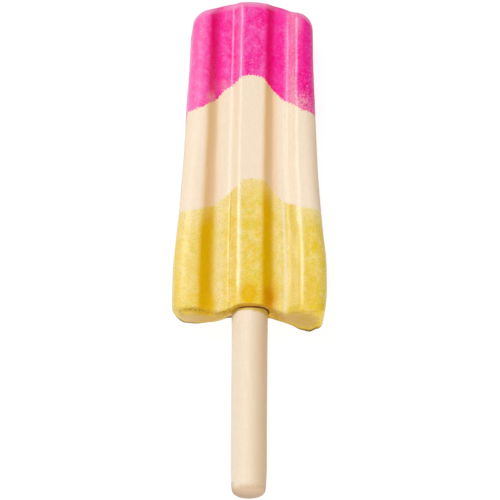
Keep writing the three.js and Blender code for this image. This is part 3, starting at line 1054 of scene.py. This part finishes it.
def banded_yellow(n, yellow):
    """The yellow's pale, deep and dark lines along the ribs and grooves, with painted shade on walls and
    painted highlights at edges.
    """
    yellow = banded(n, yellow, YELLOW_RIB_BANDS)
    # painted shade on the groove walls that face away from the key light, less near the yellow's edge
    wall_shade = n.span("wall_shade", 0, WALL_SHADE_WHOLE_AT)
    wall_shade = n.times(wall_shade, n.span("below_yellow_edge", *WALL_SHADE_BELOW_EDGE))
    yellow = n.mix(wall_shade, yellow, YELLOW_SHADE_AND_SPECKS)
    # worn dye with a painted highlight along the left edges of the centre rib and the right lobe
    worn = two_bands(n, *YELLOW_EDGE_WEAR_AND_HIGHLIGHT)
    worn = n.times(worn, n.span("over_end", *YELLOW_EDGE_BANDS_OVER_END_MM))
    yellow = n.mix(uneven(n, worn, "stroke", STROKES), yellow, YELLOW_WEAR_AND_HIGHLIGHT)
    yellow = n.mix(uneven(n, two_bands(n, *YELLOW_FLOORS), "stroke", STROKES), yellow, YELLOW_PALE)
    yellow = banded(n, yellow, YELLOW_WALL_BANDS)
    line = uneven(n, band(n, *YELLOW_DARK_LINE), "stroke", STROKES_IN_LINE)
    return n.mix(line, yellow, YELLOW_LINE)


def yellow_colour(n):
    yellow = banded_yellow(n, dyed_yellow(n))
    # the colour of the painted shade on the end face and its front edges
    end_shade = n.mix(n.span("speckle", *END_SHADE_SPECKLE), YELLOW_END_SHADE, YELLOW_END_SHADE_PALE)
    # The pools of dye, and painted shade on the end face, its front edges and the underside.
    stains_and_shade = [("gold_pool", GOLD_POOL), ("brown_pool", BROWN_POOL), ("end_shade", end_shade), ("rim", RIM_SHADE)]
    for name, colour in stains_and_shade:
        yellow = n.mix(uneven(n, name, "stroke", STROKES), yellow, colour)
    return yellow


END_GRAIN = srgb(207, 170, 106)
END_STREAK = srgb(206, 169, 68)
END_PALE = srgb(224, 198, 158)
# Darker tan, for the lip's wear and painted shade.
LIP_WEAR_AND_SHADE = srgb(204, 150, 48)
# Painted shade inside the stick's hole, paler towards its left.
SOCKET_SHADE = srgb(140, 76, 0)
SOCKET_SHADE_PALE = srgb(238, 198, 112)

GRAIN_SHADE = (0.3, 0.7, 0.87, 1.06)  # from this to that in the texture, and the dye's brightness there
EDGE_RAGGED_MM = 1.8
PINK_EDGE_SOFT_MM = (-0.15, 0.2)
YELLOW_EDGE_SOFT_MM = (-0.2, 0.35)
END_LAYERS = (("streak", 0.42, 0.62, 1.0, END_STREAK), ("from_left", 7.0, 2.0, 0.6, END_PALE))
BARE_END_RAGGED = 1.6
BARE_END_SOFT = (0.0, 0.9)
LIP_RAGGED = 1.0
LIP_SOFT = (0.0, 0.8, 0, 0.85)
SOCKET_PALES_FROM_LEFT = (14.5, 12.0, 0, 0.7)
SOCKET_SOFT_MM = (0.0, 0.03)


def edge_share(n, distance, soft):
    """Which side of a dye's edge a place is on; the speckle makes the edge ragged."""
    return n.span(ragged(n, distance, "speckle", EDGE_RAGGED_MM), *soft, smooth=True)


def with_end_face(n, colour):
    """The bare end grain, the lip's wear and painted shade, and the painted shade inside the hole over
    the other colours.
    """
    bare = n.span(ragged(n, "bare_end", "streak", BARE_END_RAGGED), *BARE_END_SOFT, smooth=True)
    colour = n.mix(bare, colour, layered(n, END_GRAIN, END_LAYERS))
    # the lip over the stick: worn dye and painted shade of its rounding
    lip = n.span(ragged(n, "lip_wear_and_shade", "stroke", LIP_RAGGED), *LIP_SOFT, smooth=True)
    colour = n.mix(lip, colour, LIP_WEAR_AND_SHADE)
    # painted shade inside the hole, paler towards the left
    socket = n.mix(n.span("from_left", *SOCKET_PALES_FROM_LEFT), SOCKET_SHADE, SOCKET_SHADE_PALE)
    return n.mix(n.span("in_socket", *SOCKET_SOFT_MM), colour, socket)


def head_colour(n):
    shade = n.span("grain", *GRAIN_SHADE)
    pink = n.mix(1.0, pink_colour(n), shade, "MULTIPLY")
    yellow = n.mix(1.0, yellow_colour(n), shade, "MULTIPLY")
    colour = n.mix(edge_share(n, "above_pink_edge", PINK_EDGE_SOFT_MM), bare_colour(n), pink)
    colour = n.mix(edge_share(n, "below_yellow_edge", YELLOW_EDGE_SOFT_MM), colour, yellow)
    return with_end_face(n, colour)


DYED_FROM_MM = (0.0, 0.3)  # inside a dye's edge
LACQUER_UNEVEN = (0.35, 0.65, 0.6, 1.1)
# Where the lacquer is thinner: what that goes by, from where to where, and its share at both.
LACQUER_THINS = (
    ("sawn", 0.0, 0.7, 1.0, 0.0),
    ("from_left", 3.0, 7.0, 0.45, 1.0),
    ("over_end", 1.0, 5.0, 0.5, 1.0),
    ("groove", 0.5, 0.95, 1.0, 0.65),
    ("wall_shade", 0.0, 0.8, 1.0, 0.3),
)
LACQUER_ON_BARE = 0.28
LACQUER_ON_DYE = 0.7
HEAD_FIBRE_BUMP = (0.025, 0.5)  # millimetres, strength
HEAD_RIPPLE_BUMP = (0.12, 0.5)
HEAD_ROUGHNESS = 0.55
HEAD_SPECULAR = 0.04
COAT_ROUGHNESS = 0.25


def lacquer_weight(n):
    lacquer = n.span("gloss", *LACQUER_UNEVEN)
    for name, *ends in LACQUER_THINS:
        lacquer = n.times(lacquer, n.span(name, *ends))
    pink, yellow = (n.span(name, *DYED_FROM_MM) for name in ("above_pink_edge", "below_yellow_edge"))
    dyed = n.math("MAXIMUM", pink, yellow)
    return n.times(lacquer, n.span(dyed, 0, 1, LACQUER_ON_BARE, LACQUER_ON_DYE))


def head_material():
    n = Nodes("dyed_wood_finish", HEAD_TEXTURES)
    fibres = n.bump("fibre", *HEAD_FIBRE_BUMP)
    return n.shader(
        Base_Color=head_colour(n),
        Roughness=HEAD_ROUGHNESS,
        Specular_IOR_Level=HEAD_SPECULAR,
        Coat_Weight=lacquer_weight(n),
        Coat_Roughness=COAT_ROUGHNESS,
        Normal=n.bump("ripple", *HEAD_RIPPLE_BUMP, fibres),
    )


# ---- the stick's and the floor's materials

STICK_TEXTURES = {
    "fibre": ((4.0, 0.25, 4.0), 3.0, 0.6),
    "mottle": ((0.8, 0.25, 0.8), 3.0, 0.6),
    "rings": ((1.0, 4.5, 1.0), 2.0, 0.6),
    "flecks": ((3.2, 3.2, 3.2), 2.0, 0.6),
}

STICK = srgb(248, 230, 206)
STICK_GRAIN = srgb(236, 210, 178)
STICK_RING = srgb(236, 212, 184)
STICK_FLECK = srgb(216, 184, 150)
STICK_MOTTLE = srgb(240, 214, 180)
# Painted sheen colour for the stick's left side.
STICK_LEFT_SHEEN = srgb(240, 234, 224)
# Painted shade colour for the stick's right side.
STICK_RIGHT_SHADE = srgb(236, 200, 152)
# The yellow band on the stick just below the head.
STICK_YELLOW_BAND = srgb(216, 184, 62)
STICK_END_GRAIN = srgb(216, 180, 142)
STICK_END_SHADE = srgb(186, 154, 126)

STICK_LAYERS = (
    ("fibre", 0.35, 0.7, 0.32, STICK_GRAIN),
    ("rings", 0.5, 0.68, 0.35, STICK_RING),
    ("flecks", 0.38, 0.28, 0.3, STICK_FLECK),
    # painted sheen on the stick's left side, towards the key light
    ("across", -2.6, -3.9, 0.4, STICK_LEFT_SHEEN),
    ("mottle", 0.35, 0.75, 0.3, STICK_MOTTLE),
)
STICK_RIGHT_SHADE_SPAN = (-1.0, 3.6, 0, 0.75)  # painted shade on the right side: across the stick, from here to there, and its shares
STICK_END_RAGGED_MM = 1.6
STICK_END_FADES = (0.2, 1.9, 0.75, 0)
STICK_END_SHADED = (("below_middle", -2.2, 0.8, 0.9, STICK_END_SHADE),)
YELLOW_BAND_RAGGED_MM = 0.8
YELLOW_BAND_SLANT = 0.08  # it reaches further down on the right
YELLOW_BAND_STARTS = (-1.3, -0.85, 0, 0.9)
HOLE_PALES = (-2.2, -3.6, 0, 0.8)
HOLE_STARTS_MM = (-0.12, 0.1)
STICK_ROUGHNESS = 0.6
STICK_BUMP = (0.04, 0.7)


def stick_wood(n):
    wood = layered(n, STICK, STICK_LAYERS)
    # painted shade on the stick's right side, away from the key light
    wood = n.mix(n.span("across", *STICK_RIGHT_SHADE_SPAN, smooth=True), wood, STICK_RIGHT_SHADE)
    end = ragged(n, "above_free_end", "flecks", STICK_END_RAGGED_MM)
    wood = n.mix(n.span(end, *STICK_END_FADES, smooth=True), wood, STICK_END_GRAIN)
    return layered(n, wood, STICK_END_SHADED)


def stick_material():
    n = Nodes("stick_wood_finish", STICK_TEXTURES)
    # a yellow band on the stick just below the head
    yellow_band = ragged(n, "above_entry", "mottle", YELLOW_BAND_RAGGED_MM)
    yellow_band = n.math("MULTIPLY_ADD", "across", YELLOW_BAND_SLANT, yellow_band)
    colour = n.mix(n.span(yellow_band, *YELLOW_BAND_STARTS, smooth=True), stick_wood(n), STICK_YELLOW_BAND)
    # painted shadow of the hole on the stick, inside it and just below its entry
    inside = n.mix(n.span("across", *HOLE_PALES), SOCKET_SHADE, SOCKET_SHADE_PALE)
    colour = n.mix(n.span("over_rim", *HOLE_STARTS_MM), colour, inside)
    return n.shader(Base_Color=colour, Roughness=STICK_ROUGHNESS, Normal=n.bump("fibre", *STICK_BUMP))


FLOOR_REACH = 3.0
FLOOR_GREY = (0.16, 0.16, 0.16)
WHITE = (1, 1, 1)
FLOOR_GLOW = 0.9


def floor_material():
    n = Nodes("floor_paper")
    return n.shader(
        Base_Color=FLOOR_GREY,
        Roughness=1.0,
        Emission_Color=WHITE,
        Emission_Strength=FLOOR_GLOW,
    )


# ---- assembling


def make_head():
    head = make_piece("head_piece", *head_mesh())
    drill_socket(head)
    describe_head(head)
    head.data.materials.clear()
    head.data.materials.append(head_material())
    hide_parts("lolly_head")
    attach(head, "root")


def make_stick():
    stick = make_piece("stick_piece", *stick_mesh())
    describe_stick(stick)
    stick.data.materials.append(stick_material())
    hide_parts("stick")
    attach(stick, "root")


def make_floor():
    reach = FLOOR_REACH
    corners = [(-reach, -reach, 0), (reach, -reach, 0), (reach, reach, 0), (-reach, reach, 0)]
    mesh = bpy.data.meshes.new("floor")
    mesh.from_pydata(corners, [], [(0, 1, 2, 3)])
    floor = new_object("floor", mesh)
    mesh.materials.append(floor_material())


# ---- camera and light

FRAME_PIXELS = 500
PIXELS_PER_MM = 4.5
SENSOR_WIDTH = 36
VIEW_DISTANCE = 2.5
CLIP_END = 100
ELEVATION = math.radians(66.5)
SIDE_TURN = math.radians(4.3)  # the camera stands this far round the lolly's length, to its left
LEAN = math.radians(0.38)  # the lolly's tip leans right in the picture
AIM_MM = (-0.03, 16.75, 0.0)

WORLD_STRENGTH = 0.15
# The lights' names, places, sizes and powers; both face the frame's origin.
LIGHTS = (
    ("key", (-0.465, 0.476, 1.0), (0.42, 0.55), 8.6),
    ("fill", (0.1, -1.0, 0.9), (1.8, 1.3), 13.0),
)


def turned_axes():
    """The camera's right, up and backward directions."""
    sin_e, cos_e = math.sin(ELEVATION), math.cos(ELEVATION)
    sin_t, cos_t = math.sin(SIDE_TURN), math.cos(SIDE_TURN)
    back = Vector((-sin_e * sin_t, -cos_e, sin_e * cos_t))
    right = Vector((cos_t, 0, sin_t))
    up = back.cross(right)
    lean = Matrix.Rotation(LEAN, 3, back)
    return lean @ right, lean @ up, back


def make_camera():
    right, up, back = turned_axes()
    data = bpy.data.cameras.new("camera")
    camera = new_object("camera", data)
    aim = ORIGIN + Vector(AIM_MM) * MM
    turn = Matrix((right, up, back)).transposed().to_4x4()
    camera.matrix_world = Matrix.Translation(aim + back * VIEW_DISTANCE) @ turn
    data.sensor_width = SENSOR_WIDTH
    data.lens = data.sensor_width * VIEW_DISTANCE / (FRAME_PIXELS / PIXELS_PER_MM * MM)
    data.clip_end = CLIP_END
    bpy.context.scene.camera = camera


def make_area_light(name, place, size, power):
    data = bpy.data.lights.new(name, "AREA")
    data.shape = "RECTANGLE"
    data.size, data.size_y = size
    data.energy = power
    light = new_object(name, data)
    light.location = place
    light.rotation_mode = "QUATERNION"
    light.rotation_quaternion = Vector(place).to_track_quat("Z", "Y")


def make_lights():
    world = bpy.data.worlds.new("studio")
    bpy.context.scene.world = world
    world.use_nodes = True
    background = world.node_tree.nodes["Background"]
    background.inputs["Color"].default_value = (*WHITE, 1)
    background.inputs["Strength"].default_value = WORLD_STRENGTH
    for light in LIGHTS:
        make_area_light(*light)
    bpy.context.scene.view_settings.view_transform = "Standard"


make_head()
make_stick()
make_floor()
make_camera()
make_lights()
